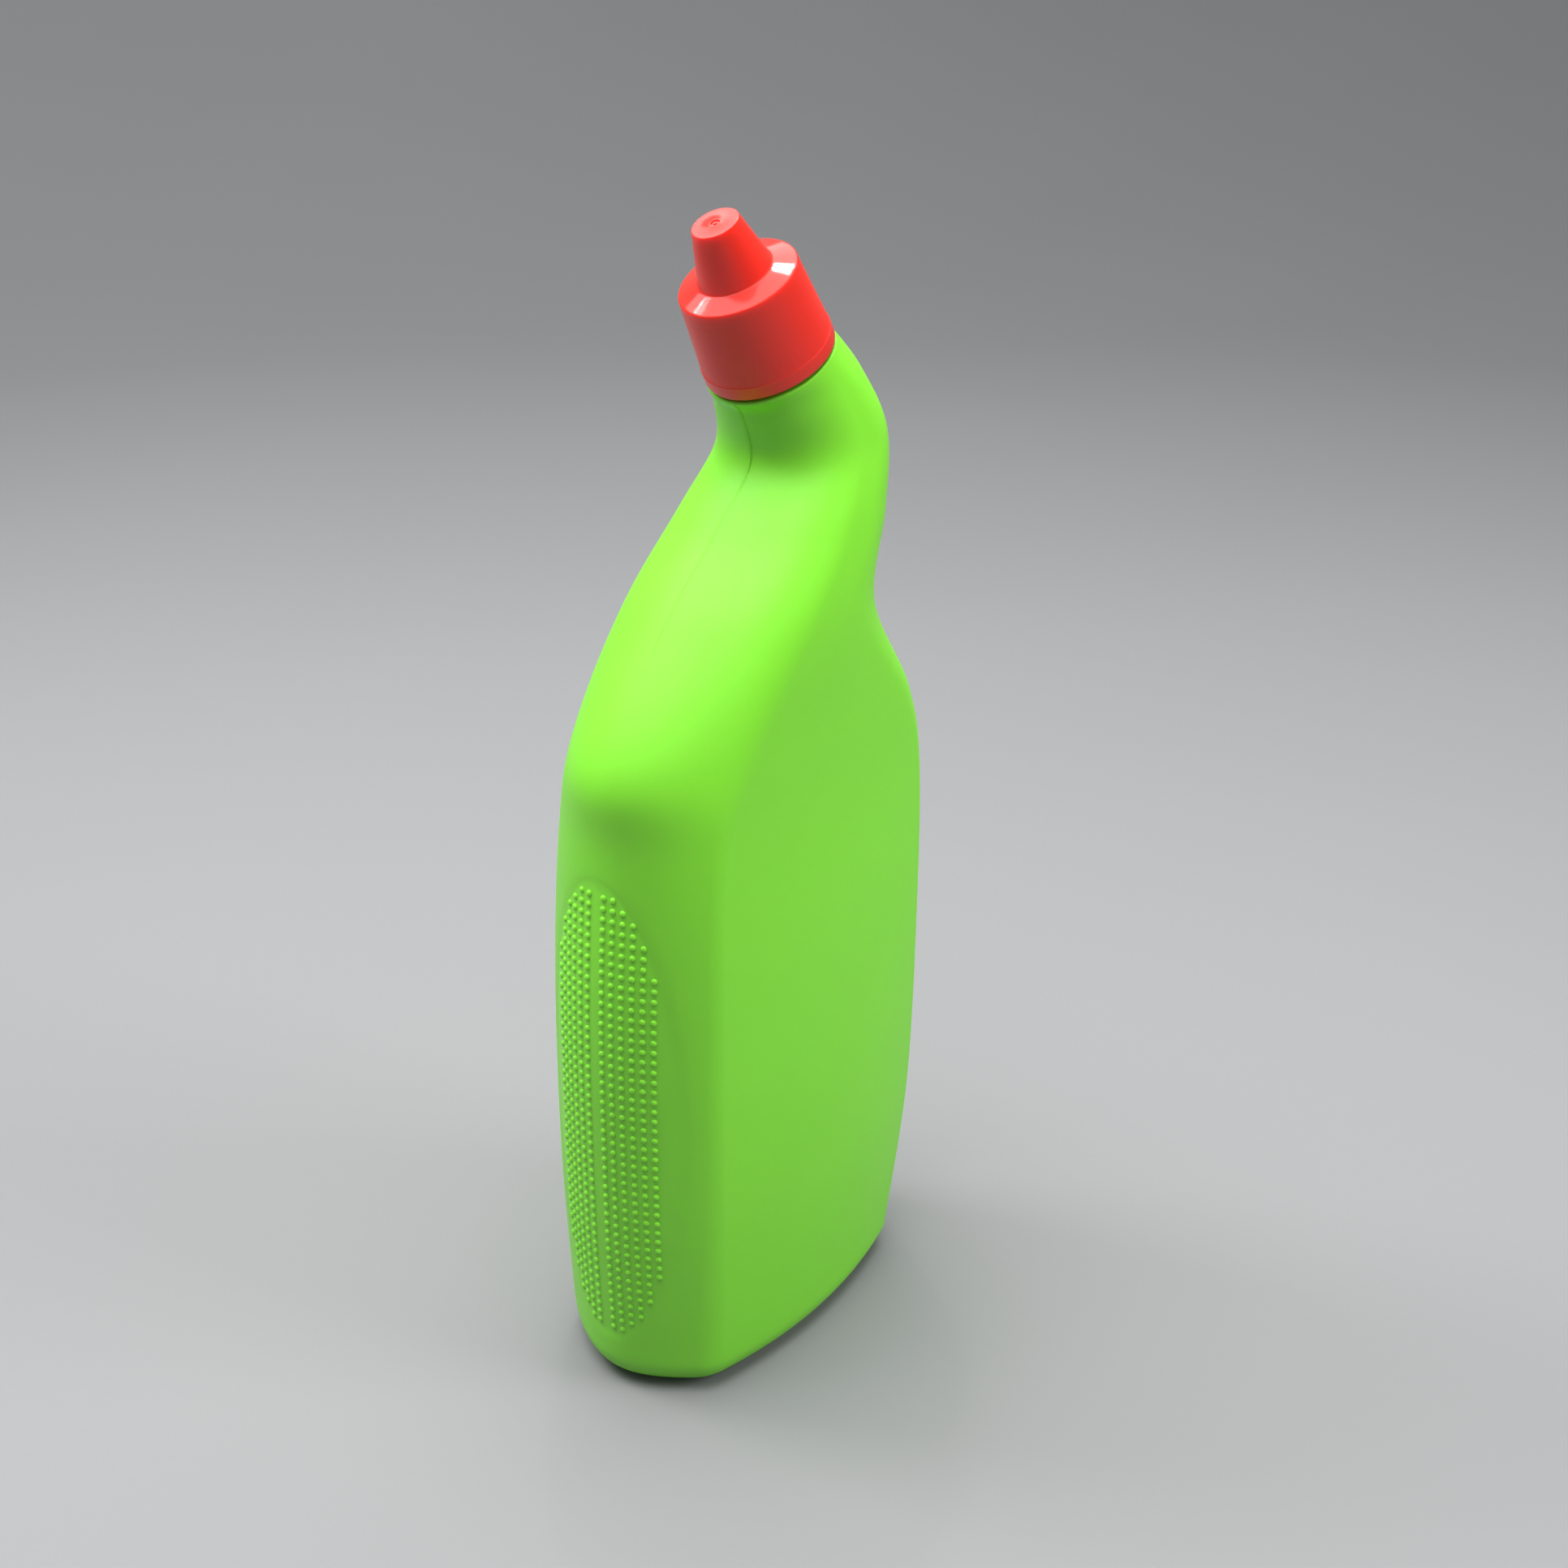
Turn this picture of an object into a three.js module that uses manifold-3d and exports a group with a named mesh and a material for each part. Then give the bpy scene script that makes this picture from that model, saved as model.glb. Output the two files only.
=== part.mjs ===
// Toilet cleaner bottle: a flat-sided blown bottle with a bent neck, a spout plug pushed into the
// neck and a screw cap whose closed nose covers the spout. Millimetres, +Z up. The origin is on the
// floor under the middle of the bottle, X runs across the broad faces and -X is the narrow grip side.

import * as THREE from 'three';
import { mergeVertices } from 'three/addons/utils/BufferGeometryUtils.js';
import Module from 'manifold-3d';

const wasm = await Module();
wasm.setup();

// Bottle body: the outline lies in the plane Y = 0, and its insets are from the overall width
const bodyWidth = 104.5;
const wall = 1;
const heelRadius = 8.5;
const footWidth = 2.5;
const baseRecess = 2.2;
const recessSlope = 2.5;
const footFrontInset = 0.4;
const footBackInset = 11;
const footBackLength = 11;
const footDepth = 38.8;
const footBulge = 8.6;
const gripHeight = 50;
const gripBackInset = 3.4;
const gripDepth = 42.8;
const gripBulge = 8.3;
const upperHeight = 100;
const upperFrontInset = 1.6;
const upperBackInset = 0.7;
const upperDepth = 44.9;
const upperBulge = 5.8;
const beltHeight = 138;
const beltFrontInset = 5.3;
const beltDepth = 45.1;
const beltBulge = 3.3;
const frontEndLength = 15.4;
const backEndLength = 12.8;
const endRadius = 28.6;
const cornerRadius = 4.9;

// Shoulder and bent neck: rises are from the belt, distances across are from the neck's foot
const kneeRise = 19.8;
const kneeFrontInset = 8.4;
const kneeBackInset = 2;
const kneeFrontLength = 21.2;
const kneeBackLength = 17.8;
const kneeBlunt = 1.22;
const kneeCorner = 0.31;
const shoulderDepth = 45.2;
const shoulderBulge = 2.9;
const slopeRise = 44.4;
const slopeTilt = 0.65;
const slopeFront = 37.3;
const slopeBack = 21;
const slopeEndLength = 20.4;
const slopeBlunt = 1.32;
const slopeCorner = 0.58;
const throatRise = 64.1;
const throatTilt = 0.9;
const throatFront = 18.8;
const throatBack = 26.4;
const throatDepth = 44.7;
const throatEndLength = 19.3;
const throatBlunt = 1.23;
const throatCorner = 0.64;
const throatBulge = 0.5;
const swellRise = 79;
const swellTilt = 3.2;
const swellFront = 7.3;
const swellBack = 29.2;
const swellDepth = 38.8;
const swellEndLength = 16.2;
const bendFront = 9.5;
const bendBack = 22;
const bendFrontDrop = 12;
const bendBackDrop = 2.2;
const bendDepth = 33.3;
const bendEndLength = 15.5;

// Neck finish, in a frame that leans towards the grip side
const neckX = 14;
const neckRise = 98.5;
const neckLean = 30.8;
const ledgeRadius = 15.1;
const ledgeRound = 0.9;
const finishHeight = 16.5;
const finishRadius = 11;
const finishBevel = 0.4;
const mouthRadius = 9.4;
const threadPitch = 3.6;
const threadTurns = 1.5;
const threadRadius = 0.9;
const threadStart = 5;
const threadRunOut = 0.1;

// Grip dots
const dotPitch = 2.5;
const dotRows = 46;
const dotColumns = 6;
const dotColumnPitch = 2.55;
const seamGap = 4.34;
const gripCentre = 73.2;
const gripHalfHeight = 58.5;
const gripHalfWidth = 20.6;
const dotRadius = 0.75;
const dotHeight = 0.45;
const dotRoot = 0.35;
const dotSides = 4;

// How finely round shapes are divided
const ringSteps = 4;
const faceSteps = 4;
const ledgeSteps = 3;
const outerRings = { heel: 4, body: 6, shoulder: 17 };
const innerRings = { heel: 1, body: 3, shoulder: 9 };
const threadSteps = 36;
const threadSideSteps = 3;
const capSegments = 40;
const plugSegments = 28;

// Spout plug
const fitGap = 0.3;
const plugFlange = 1.2;
const plugDepth = 7.5;
const plugWall = 1.1;
const plugLead = 1;
const plugBevel = 0.4;
const spoutBaseRadius = 5;
const spoutTipRadius = 3.3;
const spoutHeight = 11;
const spoutBore = 1.8;

// Cap
const hemGap = 0.4;
const capHemRadius = 15.1;
const capRimRadius = 13.4;
const skirtHeight = 20.6;
const hemBand = 3;
const hemStep = 0.2;
const hemBevel = 0.25;
const rimRound = 0.5;
const capWall = 1.5;
const noseRise = 1.4;
const noseBaseRadius = 8.2;
const noseTipRadius = 5.2;
const noseHeight = 12;
const sealInset = 0.6;
const sealWidth = 1;
const gateRadius = 1.2;
const gateHeight = 0.25;

const green = new THREE.MeshStandardMaterial({ color: 0x6fd02c, roughness: 0.42, metalness: 0 });
const red = new THREE.MeshStandardMaterial({ color: 0xe0301f, roughness: 0.28, metalness: 0 });
const milky = new THREE.MeshStandardMaterial({ color: 0xe9ebe4, roughness: 0.45, metalness: 0 });

// Solids and booleans
function toManifold(geometry) {
  const bare = geometry.clone();
  bare.deleteAttribute('normal');
  bare.deleteAttribute('uv');
  const merged = mergeVertices(bare, 1e-4);
  return new wasm.Manifold(new wasm.Mesh({
    numProp: 3,
    vertProperties: new Float32Array(merged.attributes.position.array),
    triVerts: new Uint32Array(merged.index.array),
  }));
}

function toGeometry(solid) {
  const mesh = solid.getMesh();
  const geometry = new THREE.BufferGeometry();
  geometry.setAttribute('position', new THREE.BufferAttribute(mesh.vertProperties, 3));
  geometry.setIndex(new THREE.BufferAttribute(mesh.triVerts, 1));
  geometry.computeVertexNormals();
  return geometry;
}

function lathe(points, segments) {
  const profile = points.map(([radius, height]) => new THREE.Vector2(radius, height));
  const geometry = new THREE.LatheGeometry(profile, segments);
  geometry.rotateX(Math.PI / 2);
  return geometry;
}

function arc(centreR, centreZ, radius, from, to, steps) {
  return Array.from({ length: steps + 1 }, (_, i) => {
    const angle = THREE.MathUtils.degToRad(from + (to - from) * i / steps);
    return [centreR + radius * Math.cos(angle), centreZ + radius * Math.sin(angle)];
  });
}

// Ends stop a little short of half the width, and a wall's inner ends are a little shorter
const longestEndShare = 0.97;
const endShrink = 0.6;
const shortestEnd = 1;
const roundCorner = 0.95;

// One end of a section: an end arc, then a corner arc that is tangent to the broad face. Each pair
// is a share of the end's length, from its tip, and a share of the half depth.
function endOutline(blunt, corner, steps) {
  const sweep = Math.asin((1 - corner) / (blunt - corner));
  const length = blunt - (blunt - corner) * Math.cos(sweep);
  return Array.from({ length: 2 * steps + 1 }, (_, i) => {
    const angle = Math.PI / 2 * i / (2 * steps);
    if (angle <= sweep) {
      return [(blunt - blunt * Math.cos(angle)) / length, blunt * Math.sin(angle)];
    }
    return [
      1 - corner * Math.cos(angle) / length,
      (blunt - corner) * Math.sin(sweep) + corner * Math.sin(angle),
    ];
  });
}

// A closed section between a front and a back point of the outline in the plane Y = 0
function sectionRing(at, steps) {
  const span = at.back.clone().sub(at.front);
  const width = span.length();
  const along = span.normalize();
  const half = width / 2;
  const longestEnd = half * longestEndShare;
  const frontLength = Math.min(at.frontEnd, longestEnd);
  const backLength = Math.min(at.backEnd, longestEnd);
  const outline = endOutline(at.blunt, at.corner, steps);
  const faceLength = width - frontLength - backLength;
  const side = [
    ...outline.map(([share, y]) => [share * frontLength, y]),
    ...Array.from({ length: faceSteps - 1 }, (_, i) => (
      [frontLength + faceLength * (i + 1) / faceSteps, 1]
    )),
    ...outline.map(([share, y]) => [width - share * backLength, y]).reverse(),
  ];
  const swell = ([s, y]) => {
    const offCentre = Math.abs(s - half) / half;
    return [s, y * (at.half + at.bulge * (1 - offCentre * offCentre))];
  };
  const near = side.map(swell);
  const far = near.slice(1, -1).reverse().map(([s, y]) => [s, -y]);
  return [...near, ...far].map(([s, y]) => new THREE.Vector3(
    at.front.x + along.x * s,
    y,
    at.front.y + along.y * s,
  ));
}

// Closed skin over a stack of rings, with a fan at each end
function skin(rings) {
  const count = rings[0].length;
  const points = rings.flat();
  const index = [];
  for (let r = 0; r < rings.length - 1; r++) {
    for (let i = 0; i < count; i++) {
      const a = r * count + i;
      const b = r * count + (i + 1) % count;
      index.push(a, a + count, b, b, a + count, b + count);
    }
  }
  const middle = (ring) => ring.reduce((sum, p) => sum.add(p), new THREE.Vector3())
    .divideScalar(count);
  const top = (rings.length - 1) * count;
  points.push(middle(rings[0]), middle(rings[rings.length - 1]));
  for (let i = 0; i < count; i++) {
    const next = (i + 1) % count;
    index.push(points.length - 2, i, next);
    index.push(points.length - 1, top + next, top + i);
  }
  const geometry = new THREE.BufferGeometry().setFromPoints(points);
  geometry.setIndex(index);
  return geometry;
}

// Neck axis: leans from +Z towards -X
const lean = THREE.MathUtils.degToRad(neckLean);
const neckBase = new THREE.Vector2(neckX, beltHeight + neckRise);
const neckAxis = new THREE.Vector2(-Math.sin(lean), Math.cos(lean));
const neckSide = new THREE.Vector2(Math.cos(lean), Math.sin(lean));
const ledgeCentre = neckBase.clone().addScaledVector(neckAxis, -hemGap);

function ledgePoint(radius, down) {
  return ledgeCentre.clone().addScaledVector(neckSide, radius).addScaledVector(neckAxis, -down);
}

const frontX = -bodyWidth / 2;
const backX = bodyWidth / 2;

function level(frontInset, backInset, height, shape) {
  return {
    front: new THREE.Vector2(frontX + frontInset, height),
    back: new THREE.Vector2(backX - backInset, height),
    ...shape,
  };
}

function bodyShape(depth, bulge) {
  return {
    half: depth / 2,
    frontEnd: frontEndLength,
    backEnd: backEndLength,
    blunt: 2 * endRadius / depth,
    corner: 2 * cornerRadius / depth,
    bulge,
  };
}

// One level of the shoulder or neck, given by its distances across from the neck's foot and its
// heights above the belt
function neckLevel(front, frontRise, back, backRise, shape) {
  return {
    front: new THREE.Vector2(neckX - front, beltHeight + frontRise),
    back: new THREE.Vector2(neckX + back, beltHeight + backRise),
    ...shape,
  };
}

function taperShape(depth, endLength, blunt, corner, bulge) {
  return { half: depth / 2, frontEnd: endLength, backEnd: endLength, blunt, corner, bulge };
}

// With a blunt share of 1 each end is a half ellipse, whatever its corner share
function roundShape(depth, endLength) {
  return taperShape(depth, endLength, 1, roundCorner, 0);
}

// Levels of the outline, from the heel to the ledge under the cap
const stations = [
  level(footFrontInset, footBackInset, heelRadius, {
    ...bodyShape(footDepth, footBulge), backEnd: footBackLength,
  }),
  level(0, gripBackInset, gripHeight, bodyShape(gripDepth, gripBulge)),
  level(upperFrontInset, upperBackInset, upperHeight, bodyShape(upperDepth, upperBulge)),
  level(beltFrontInset, 0, beltHeight, bodyShape(beltDepth, beltBulge)),
  level(kneeFrontInset, kneeBackInset, beltHeight + kneeRise, {
    ...taperShape(shoulderDepth, kneeFrontLength, kneeBlunt, kneeCorner, shoulderBulge),
    backEnd: kneeBackLength,
  }),
  neckLevel(slopeFront, slopeRise + slopeTilt, slopeBack, slopeRise - slopeTilt,
    taperShape(shoulderDepth, slopeEndLength, slopeBlunt, slopeCorner, shoulderBulge)),
  neckLevel(throatFront, throatRise - throatTilt, throatBack, throatRise + throatTilt,
    taperShape(throatDepth, throatEndLength, throatBlunt, throatCorner, throatBulge)),
  neckLevel(swellFront, swellRise - swellTilt, swellBack, swellRise + swellTilt,
    roundShape(swellDepth, swellEndLength)),
  neckLevel(bendFront, neckRise - bendFrontDrop, bendBack, neckRise - bendBackDrop,
    roundShape(bendDepth, bendEndLength)),
  {
    front: ledgePoint(-ledgeRadius, ledgeRound),
    back: ledgePoint(ledgeRadius, ledgeRound),
    ...roundShape(2 * ledgeRadius, ledgeRadius),
  },
];
const beltStation = 3;

const frontLine = new THREE.SplineCurve(stations.map((s) => s.front));
const backLine = new THREE.SplineCurve(stations.map((s) => s.back));
const shapeKeys = ['half', 'frontEnd', 'backEnd', 'blunt', 'corner', 'bulge'];
const shapeLines = shapeKeys.map((key) => (
  new THREE.SplineCurve(stations.map((s) => new THREE.Vector2(s[key], 0)))
));

// The outline at a share of the way up, between stations
function outlineAt(share) {
  const at = { front: frontLine.getPoint(share), back: backLine.getPoint(share) };
  shapeKeys.forEach((key, i) => {
    at[key] = shapeLines[i].getPoint(share).x;
  });
  at.blunt = Math.max(at.blunt, 1);
  at.bulge = Math.max(at.bulge, 0);
  return at;
}

// The same outline moved in by a wall
function inset(at, depth, height = 0) {
  const along = at.back.clone().sub(at.front).normalize();
  const half = at.half - depth;
  return {
    ...at,
    front: at.front.clone().addScaledVector(along, depth).setY(at.front.y + along.y * depth + height),
    back: at.back.clone().addScaledVector(along, -depth).setY(at.back.y - along.y * depth + height),
    half,
    frontEnd: Math.max(at.frontEnd - depth * endShrink, shortestEnd),
    backEnd: Math.max(at.backEnd - depth * endShrink, shortestEnd),
  };
}

// A round section across the neck axis, a height above the foot of the axis
function neckRing(radius, height) {
  const centre = neckBase.clone().addScaledVector(neckAxis, height);
  return sectionRing({
    front: centre.clone().addScaledVector(neckSide, -radius),
    back: centre.clone().addScaledVector(neckSide, radius),
    ...roundShape(2 * radius, radius),
  }, ringSteps);
}

// Rings up one side of the wall, from the middle of the base to below the ledge
function wallRings(offset, steps) {
  const foot = outlineAt(0);
  const atFoot = (depth, height) => (
    sectionRing(inset(foot, depth, height - heelRadius), ringSteps)
  );
  const rings = [
    atFoot(heelRadius + footWidth + recessSlope + offset, baseRecess + offset),
    atFoot(heelRadius + footWidth + offset, offset),
  ];
  for (let i = 0; i < steps.heel; i++) {
    const angle = Math.PI / 2 * i / steps.heel;
    rings.push(atFoot(
      offset + (heelRadius - offset) * (1 - Math.sin(angle)),
      heelRadius - (heelRadius - offset) * Math.cos(angle),
    ));
  }
  const beltShare = beltStation / (stations.length - 1);
  for (let i = 0; i < steps.body; i++) {
    rings.push(sectionRing(inset(outlineAt(beltShare * i / steps.body), offset), ringSteps));
  }
  for (let i = 0; i < steps.shoulder; i++) {
    const share = beltShare + (1 - beltShare) * i / steps.shoulder;
    rings.push(sectionRing(inset(outlineAt(share), offset), ringSteps));
  }
  return rings;
}

// The ledge, the neck finish and the mouth, from outside to inside
function finishRings() {
  const rings = [];
  for (let i = 0; i <= ledgeSteps; i++) {
    const angle = Math.PI / 2 * i / ledgeSteps;
    rings.push(neckRing(
      ledgeRadius - ledgeRound * (1 - Math.cos(angle)),
      -hemGap - ledgeRound * (1 - Math.sin(angle)),
    ));
  }
  rings.push(
    neckRing(finishRadius, -hemGap),
    neckRing(finishRadius, finishHeight - finishBevel),
    neckRing(finishRadius - finishBevel, finishHeight),
    neckRing(mouthRadius, finishHeight),
    neckRing(mouthRadius, -hemGap - wall),
    neckRing(ledgeRadius - wall, -hemGap - ledgeRound - wall),
  );
  return rings;
}

function placeOnNeck(geometry) {
  geometry.rotateY(-lean);
  geometry.translate(neckBase.x, 0, neckBase.y);
  return geometry;
}

class Helix extends THREE.Curve {
  getPoint(t, target = new THREE.Vector3()) {
    const angle = 2 * Math.PI * threadTurns * t;
    const fade = Math.min(1, Math.min(t, 1 - t) / threadRunOut);
    const radius = finishRadius - (1 - fade) * threadRadius;
    return target.set(
      radius * Math.cos(angle),
      radius * Math.sin(angle),
      threadStart + threadPitch * threadTurns * t,
    );
  }
}

function threadRidge() {
  const section = new THREE.Shape().absarc(0, 0, threadRadius, 0, 2 * Math.PI);
  return new THREE.ExtrudeGeometry(section, {
    steps: threadSteps,
    curveSegments: threadSideSteps,
    bevelEnabled: false,
    extrudePath: new Helix(),
  });
}

// Share of the way up where the front line reaches a height
function shareAtHeight(height) {
  let low = 0;
  let high = (beltStation + 1) / (stations.length - 1);
  for (let i = 0; i < 30; i++) {
    const middle = (low + high) / 2;
    if (frontLine.getPoint(middle).y < height) low = middle;
    else high = middle;
  }
  return low;
}

// Place and outward direction on the front of the body, a distance along its skin from the seam
function onGrip(along, height) {
  const ring = sectionRing(outlineAt(shareAtHeight(height)), ringSteps);
  const stepAt = (i) => ring[i].distanceTo(ring[i + 1]);
  let left = Math.abs(along);
  let i = 0;
  while (left > stepAt(i)) {
    left -= stepAt(i);
    i++;
  }
  const point = ring[i].clone().lerp(ring[i + 1], left / stepAt(i));
  const run = ring[i + 1].clone().sub(ring[i]).normalize();
  const sign = Math.sign(along);
  return {
    point: new THREE.Vector3(point.x, point.y * sign, height),
    outward: new THREE.Vector3(-run.y, run.x * sign, 0),
  };
}

function gripDots() {
  const dots = [];
  const up = new THREE.Vector3(0, 1, 0);
  const rootRadius = dotRadius * (dotHeight + dotRoot) / dotHeight;
  for (let column = 0; column < dotColumns; column++) {
    const along = seamGap / 2 + column * dotColumnPitch;
    const reach = gripHalfHeight * Math.sqrt(Math.max(0, 1 - (along / gripHalfWidth) ** 2));
    for (let row = 0; row < dotRows; row++) {
      const offset = (row - (dotRows - 1) / 2) * dotPitch;
      if (Math.abs(offset) > reach) continue;
      for (const side of [-1, 1]) {
        const { point, outward } = onGrip(side * along, gripCentre + offset);
        const dot = new THREE.ConeGeometry(rootRadius, dotHeight + dotRoot, dotSides);
        dot.translate(0, (dotHeight - dotRoot) / 2, 0);
        dot.applyQuaternion(new THREE.Quaternion().setFromUnitVectors(up, outward));
        dot.translate(point.x, point.y, point.z);
        dots.push(toManifold(dot));
      }
    }
  }
  return wasm.Manifold.union(dots);
}

function bottle() {
  const shell = toManifold(skin([
    ...wallRings(0, outerRings),
    ...finishRings(),
    ...wallRings(wall, innerRings).reverse(),
  ]));
  const thread = toManifold(placeOnNeck(threadRidge()));
  return new THREE.Mesh(toGeometry(shell.add(thread).add(gripDots())), green);
}

// Spout plug: a flanged cup in the mouth with a tapered spout
const flangeBottom = finishHeight + fitGap;
const flangeTop = flangeBottom + plugFlange;
const flangeRadius = finishRadius - finishBevel;
const plugRadius = mouthRadius - fitGap;
const plugBottom = flangeBottom - plugDepth;
const spoutTop = flangeTop + spoutHeight;

function spoutPlug() {
  return new THREE.Mesh(lathe([
    [spoutBore, flangeBottom],
    [plugRadius - plugWall, flangeBottom],
    [plugRadius - plugWall, plugBottom],
    [plugRadius - plugBevel, plugBottom],
    [plugRadius, plugBottom + plugLead],
    [plugRadius, flangeBottom],
    [flangeRadius, flangeBottom],
    [flangeRadius, flangeTop],
    [spoutBaseRadius, flangeTop],
    [spoutTipRadius, spoutTop - plugBevel],
    [spoutTipRadius - plugBevel, spoutTop],
    [spoutBore, spoutTop],
    [spoutBore, flangeBottom],
  ], plugSegments), milky);
}

// Screw cap: a flared skirt, a shallow shoulder and a closed nose over the spout
const noseBase = skirtHeight + noseRise;
const noseTop = noseBase + noseHeight;
const capCeiling = skirtHeight - capWall;

function screwCap() {
  const boreRadius = finishRadius + threadRadius + fitGap;
  const sealRadius = finishRadius - sealInset;
  const sealBottom = flangeTop + fitGap;
  return new THREE.Mesh(lathe([
    [0, noseTop - capWall],
    [noseTipRadius - capWall, noseTop - capWall],
    [noseBaseRadius - capWall, noseBase - capWall],
    [sealRadius - sealWidth, capCeiling],
    [sealRadius - sealWidth, sealBottom],
    [sealRadius, sealBottom],
    [sealRadius, capCeiling],
    [boreRadius, capCeiling],
    [capHemRadius - hemStep - capWall, hemBand],
    [capHemRadius - capWall, 0],
    [capHemRadius - hemBevel, 0],
    [capHemRadius, hemBevel],
    [capHemRadius, hemBand],
    [capHemRadius - hemStep, hemBand + hemStep],
    ...arc(capRimRadius - rimRound, skirtHeight - rimRound, rimRound, 0, 75, 2),
    [noseBaseRadius + rimRound, noseBase],
    [noseBaseRadius, noseBase + rimRound],
    ...arc(noseTipRadius - rimRound, noseTop - rimRound, rimRound, 15, 90, 2),
    [gateRadius, noseTop],
    [gateRadius - gateHeight, noseTop - gateHeight],
    [0, noseTop - gateHeight],
  ], capSegments), red);
}

const part = new THREE.Group();
const bottleMesh = bottle();
bottleMesh.name = 'bottle';
part.add(bottleMesh);

const neck = new THREE.Group();
neck.position.set(neckBase.x, 0, neckBase.y);
neck.rotation.y = -lean;
part.add(neck);

const plugMesh = spoutPlug();
plugMesh.name = 'spout_plug';
neck.add(plugMesh);

const capMesh = screwCap();
capMesh.name = 'cap';
neck.add(capMesh);

export default part;
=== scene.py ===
import math
from collections import namedtuple

import bmesh
import bpy
from bpy.props import FloatProperty, FloatVectorProperty, PointerProperty
from mathutils import Matrix, Vector


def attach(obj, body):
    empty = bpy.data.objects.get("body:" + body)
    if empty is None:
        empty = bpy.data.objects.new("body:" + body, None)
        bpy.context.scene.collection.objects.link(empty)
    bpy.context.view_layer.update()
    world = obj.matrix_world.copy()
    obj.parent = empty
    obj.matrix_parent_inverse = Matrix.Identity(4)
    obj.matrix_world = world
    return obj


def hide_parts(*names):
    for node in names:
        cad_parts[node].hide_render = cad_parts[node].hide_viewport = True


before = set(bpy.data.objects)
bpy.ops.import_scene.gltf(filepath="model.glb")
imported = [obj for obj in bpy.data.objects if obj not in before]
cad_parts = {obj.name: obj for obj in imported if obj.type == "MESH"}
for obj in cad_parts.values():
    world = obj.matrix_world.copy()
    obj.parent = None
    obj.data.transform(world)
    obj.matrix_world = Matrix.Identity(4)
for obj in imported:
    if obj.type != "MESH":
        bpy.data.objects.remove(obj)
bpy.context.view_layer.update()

bl_info = {
    "name": "Toilet cleaner bottle",
    "version": (1, 0, 0),
    "blender": (4, 5, 0),
    "location": "View3D > Sidebar > Bottle",
    "description": "A flat-sided bottle with a leaning neck, a spout plug and a screw cap",
    "category": "Add Mesh",
}

MM = 0.001

# Neck frame: leans towards the grip side
NECK_BASE = Vector((14.0, 0.0, 236.5)) * MM
NECK_LEAN = math.radians(30.8)
NECK = Matrix.Translation(NECK_BASE) @ Matrix.Rotation(-NECK_LEAN, 4, "Y")

# Neck finish, plug and cap, in millimetres along and around the neck. The groove between the cap
# and the ledge is drawn deeper than in the solids, where the gap is 0.4 and the rounding 0.9.
HEM_GAP = 0.8
LEDGE_RADIUS = 15.1
LEDGE_ROUND = 0.6
FINISH_HEIGHT = 16.5
FINISH_RADIUS = 11.0
FINISH_BEVEL = 0.4
MOUTH_RADIUS = 9.4
THREAD_PITCH = 3.6
THREAD_TURNS = 1.5
THREAD_START = 5.0
THREAD_DEPTH = 0.9
FIT_GAP = 0.3
PLUG_WALL = 1.1
PLUG_DEPTH = 7.5
PLUG_FLANGE = 1.2
SPOUT_BORE = 1.8
SPOUT_HEIGHT = 11
SPOUT_RIM = 1.2
SEAL_INSET = 0.6
SEAL_WIDTH = 1
CAP_CEILING = 19.1
# Radius, height and rounding of the cap's outer corners, from the hem up
CAP_HEM = (
    (13.75, 0, 0), (15.1, 0, 0.2), (15.04, 2.8, 0.04), (15.1, 2.95, 0.05), (14.92, 3.12, 0.04),
)
CAP_SKIRT = ((14.88, 3.6, 0), (13.48, 19.8, 0))
CAP_SHOULDER = ((13.42, 20.5, 0.35), (12.9, 20.655, 0), (8.9, 21.851, 0))
CAP_NOSE = (
    (8.4, 22, 0.3), (8.215, 22.7, 0), (5.36, 33.4, 0), (5.24, 33.85, 0.2), (4.9, 33.85, 0),
)
GATE_MARK = (
    (1.55, 33.8, 0), (1.4, 33.9, 0.04), (1.1, 33.9, 0.04), (0.95, 33.6, 0.05), (0.45, 33.6, 0),
    (0.35, 33.84, 0.05), (0, 33.86, 0),
)
PLUG_STEPS = 96
CAP_STEPS = 160

# Radii of the narrow side and of its corners, on the flat-sided body, in millimetres
NARROW_RADIUS = 28.6
CORNER_RADIUS = 4.9
BODY_ENDS = (15.4, 12.8)
# Corner of a round section, as a share of half its depth
ROUND_CORNER = 0.95

# One level of the bottle's outline: its front and back points in the middle plane, half its
# depth, how long its rounded ends are, how blunt and how tightly cornered they are, and how far
# its broad faces bulge
Level = namedtuple("Level", "front back half front_end back_end blunt corner bulge")


def level(front, back, depth, ends, blunt, corner, bulge):
    """A level from millimetres, with its corner sizes as shares of half its depth."""
    return Level(
        Vector(front) * MM, Vector(back) * MM, depth / 2 * MM,
        ends[0] * MM, ends[1] * MM, blunt, corner, bulge * MM,
    )


def body_level(front_x, back_x, height, depth, bulge, ends=BODY_ENDS):
    """A level of the flat-sided body, whose corners keep the same radii."""
    blunt, corner = 2 * NARROW_RADIUS / depth, 2 * CORNER_RADIUS / depth
    return level((front_x, height), (back_x, height), depth, ends, blunt, corner, bulge)


def ledge_point(side):
    """The ledge's outermost point in the middle plane, to one side of the neck."""
    at = NECK @ (Vector((side * LEDGE_RADIUS, 0, -HEM_GAP - LEDGE_ROUND)) * MM)
    return (at.x / MM, at.z / MM)


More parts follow.
